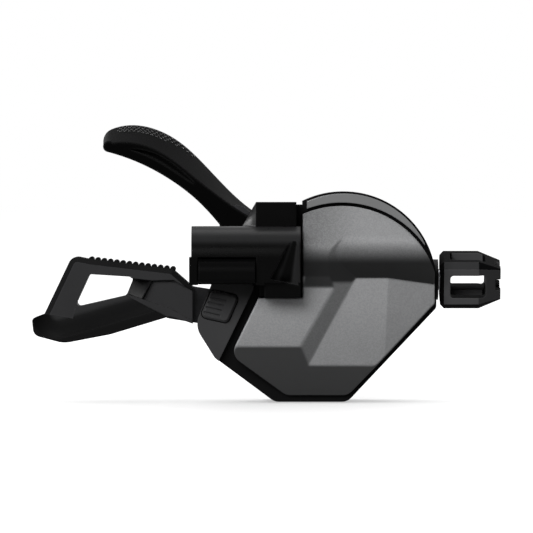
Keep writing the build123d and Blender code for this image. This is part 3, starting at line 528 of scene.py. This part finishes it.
def steel(name, colour, roughness):
    """Bright or blackened metal with fine lines in its tone, its gloss and its relief."""
    material = bpy.data.materials.new(name)
    material.use_nodes = True
    tree = material.node_tree
    shader = tree.nodes["Principled BSDF"]
    shader.inputs["Metallic"].default_value = 1.0
    lines = add(tree, "ShaderNodeGroup", node_tree=metal_streaks)
    edges = add(tree, "ShaderNodeGroup", node_tree=rounded_edge, Radius=streak_edge)
    base = np.array(colour)
    tones = add(tree, "ShaderNodeMix", data_type="RGBA")
    tones.inputs["A"].default_value = (*(base * (1 - streak_tone)), 1)
    tones.inputs["B"].default_value = (*np.minimum(base * (1 + streak_tone), 1), 1)
    gloss = add(tree, "ShaderNodeMapRange")
    gloss.inputs["To Min"].default_value = roughness - streak_gloss
    gloss.inputs["To Max"].default_value = roughness + streak_gloss
    relief = add(tree, "ShaderNodeBump", Strength=streak_bump, Distance=streak_depth)
    tree.links.new(lines.outputs["Streaks"], tones.inputs["Factor"])
    tree.links.new(tones.outputs["Result"], shader.inputs["Base Color"])
    tree.links.new(lines.outputs["Streaks"], gloss.inputs["Value"])
    tree.links.new(gloss.outputs["Result"], shader.inputs["Roughness"])
    tree.links.new(lines.outputs["Streaks"], relief.inputs["Height"])
    tree.links.new(edges.outputs["Normal"], relief.inputs["Normal"])
    tree.links.new(relief.outputs["Normal"], shader.inputs["Normal"])
    return material


steel_finishes = [
    ("arm_black_oxide", (0.02, 0.02, 0.021), 0.42, ["main_lever_arm", "release_lever_arm"]),
    ("plate_rolled_steel", (0.45, 0.45, 0.46), 0.38, ["base_plate"]),
    ("axle_turned_steel", (0.5, 0.5, 0.51), 0.3, ["main_axle", "axle_nut", "arm_spacer"]),
    ("pawl_hard_steel", (0.34, 0.34, 0.35), 0.35,
     ["winding_pawl", "winding_pawl_pin", "positioning_pawl", "positioning_pawl_pin"]),
    ("spring_drawn_wire", (0.3, 0.3, 0.31), 0.32,
     ["axle_clip", "reel_spring", "main_lever_spring", "release_lever_spring"]),
    ("washer_rolled_brass", (0.55, 0.42, 0.2), 0.35, ["reel_washer", "arm_washer", "rear_washer"]),
    ("reel_milled_alloy", (0.5, 0.51, 0.52), 0.34, ["wire_reel"]),
    ("screw_dark_steel", (0.1, 0.1, 0.104), 0.38,
     ["bracket_screws", "base_plate_screws", "cover_screws"])]
for finish, colour, roughness, names in steel_finishes:
    dress(steel(finish, colour, roughness), *names)


# Cable adjuster.
# A four-sided cage of dark nylon that is turned by hand on a dark anodised sleeve. A rubber ring in
# the neck of the housing gives it drag.

knob_black = skin(
    "knob_dark_nylon", (0.064, 0.064, 0.0657), roughness=0.5, specular=0.005,
    grain=3200.0, depth=0.000012, bump=0.3, edge=0.0004, edge_light=0.15, tone=0.14)
# Painted light and shade: the front faces keep the grey and all other faces are near black.
paint_light_and_shade_by_facing(knob_black, (0.003, 0.003, 0.0031))
dress(knob_black, "adjuster_knob")
dress(steel("sleeve_dark_anodised", (0.16, 0.16, 0.168), roughness=0.32), "adjuster_sleeve")
ring_rubber = skin(
    "ring_matt_rubber", (0.014, 0.014, 0.014), roughness=0.75, specular=0.3,
    grain=2500.0, depth=0.00002, bump=0.4, edge=0.0002, edge_light=0.1, tone=0.1)
dress(ring_rubber, "adjuster_ring")


# Studio.
# A pale floor in a white room, flat under the part and bent in front and behind, has a wide lamp of
# its own. Soft lamps at the front left, above and behind light the part for an almost square camera.

floor_gap = 0.0002
floor_z = cad_box[0][2] - floor_gap
floor_fall = np.tan(np.radians(10.0))
floor_bend = 0.004
foot_front = 0.0095
floor_reach, floor_count = 1.5, 121
paper_tone, paper_bounce = 0.86, 0.06
glow_start, glow_end = 0.1, 0.3
glow_middle, glow_far = 0.45, 1.0
room_light, room_seen = 0.05, 1.0


def floor_grid(reach, count):
    """A square of points, closer together in the middle and flat under the part.

    In front of the part the height falls, and behind it rises, by the slope times the distance
    squared over the sum of the distance and the bend.
    """
    line = reach * np.linspace(-1, 1, count) ** 3
    across, along = np.meshgrid(line, line, indexing="ij")
    ahead = np.maximum(foot_front - along, 0)
    behind = np.maximum(along - cad_box[1][1], 0)
    bent = ahead ** 2 / (ahead + floor_bend) - behind ** 2 / (behind + floor_bend)
    return np.stack([across, along, floor_z - floor_fall * bent], -1)


def seen_rays(tree):
    """The light path node, and a mask of the rays that show the background.

    The mask is the greatest of the marks of camera, glossy and transmission rays.
    """
    path = add(tree, "ShaderNodeLightPath")
    direct = math(tree, "MAXIMUM", path.outputs["Is Camera Ray"], path.outputs["Is Glossy Ray"])
    return path, math(tree, "MAXIMUM", direct, path.outputs["Is Transmission Ray"])


floor = shown("studio_floor", grids_mesh("studio_floor", floor_grid(floor_reach, floor_count)))
paper = bpy.data.materials.new("studio_paper")
paper.use_nodes = True
tree = paper.node_tree
tree.nodes.remove(tree.nodes["Principled BSDF"])
path, seen = seen_rays(tree)
matt = add(tree, "ShaderNodeBsdfDiffuse")
shade = add(tree, "ShaderNodeMix", data_type="RGBA")
shade.inputs["A"].default_value = (paper_tone, paper_tone, paper_tone, 1)
shade.inputs["B"].default_value = (paper_bounce, paper_bounce, paper_bounce, 1)
glow = add(tree, "ShaderNodeEmission", Color=(1, 1, 1, 1), Strength=1.0)
floor_spot = add(tree, "ShaderNodeTexCoord")
distance = add(tree, "ShaderNodeVectorMath", operation="LENGTH")
tree.links.new(floor_spot.outputs["Object"], distance.inputs[0])
outward = ranged(tree, distance.outputs["Value"], glow_start, glow_end, glow_middle, glow_far)
mix = add(tree, "ShaderNodeMixShader")
tree.links.new(path.outputs["Is Diffuse Ray"], shade.inputs["Factor"])
tree.links.new(shade.outputs["Result"], matt.inputs["Color"])
tree.links.new(math(tree, "MULTIPLY", seen, outward), mix.inputs[0])
tree.links.new(matt.outputs[0], mix.inputs[1])
tree.links.new(glow.outputs[0], mix.inputs[2])
tree.links.new(mix.outputs[0], tree.nodes["Material Output"].inputs["Surface"])
floor.data.materials.append(paper)

world = bpy.data.worlds.new("studio_room")
bpy.context.scene.world = world
world.use_nodes = True
room = world.node_tree
backdrop = room.nodes["Background"]
backdrop.inputs["Color"].default_value = (1, 1, 1, 1)
path, seen = seen_rays(room)
level = ranged(room, seen, 0.0, 1.0, room_light, room_seen)
room.links.new(level, backdrop.inputs["Strength"])


def soft_lamp(name, place, aim, width, height, power):
    """A rectangular lamp that faces a point."""
    data = bpy.data.lights.new(name, "AREA")
    data.shape = "RECTANGLE"
    data.size = width
    data.size_y = height
    data.energy = power
    lamp = shown(name, data)
    lamp.location = place
    lamp.rotation_euler = (lamp.location - Vector(aim)).to_track_quat("Z", "Y").to_euler()
    return lamp


part_middle = (0.01, 0.01, 0.0)
side_lamps = [
    soft_lamp("lamp_front", (-0.5, -0.95, 0.5), part_middle, width=1.0, height=0.5, power=17.0),
    soft_lamp("lamp_back_right", (0.85, 0.7, 0.35), part_middle, width=0.6, height=0.5, power=12.0),
    soft_lamp("lamp_back_left", (-0.75, 0.85, 0.45), part_middle, width=0.6, height=0.5, power=9.0),
    soft_lamp("lamp_top", (0.05, 0.25, 0.75), part_middle, width=0.6, height=0.4, power=4.0)]
floor_lamp = soft_lamp(
    "lamp_floor", (0.0, 0.0, 0.8), (0.0, 0.0, 0.0), width=2.4, height=2.4, power=46.0)
floor_lamp.visible_camera = False
# The wide lamp lights the floor alone, and the other lamps light all but the floor.
lit_floor = bpy.data.collections.new("lit_floor")
lit_floor.objects.link(floor)
floor_lamp.light_linking.receiver_collection = lit_floor
dim_floor = bpy.data.collections.new("dim_floor")
dim_floor.objects.link(floor)
dim_floor.collection_objects[0].light_linking.link_state = "EXCLUDE"
for lamp in side_lamps:
    lamp.light_linking.receiver_collection = dim_floor

sensor_width = 36.0
view_width = 0.12526
view_centre = (0.00928, 0.00364)
view_distance = 1.3
view_rise = np.radians(0.8)
cover_plane = 0.004
lens = bpy.data.cameras.new("camera")
lens.sensor_width = sensor_width
lens.lens = sensor_width * view_distance / view_width
camera = shown("camera", lens)
camera.location = (view_centre[0], cover_plane - view_distance * np.cos(view_rise),
                   view_centre[1] + view_distance * np.sin(view_rise))
camera.rotation_euler = (np.pi / 2 - view_rise, 0, 0)
bpy.context.scene.camera = camera
bpy.context.scene.view_settings.view_transform = "Standard"
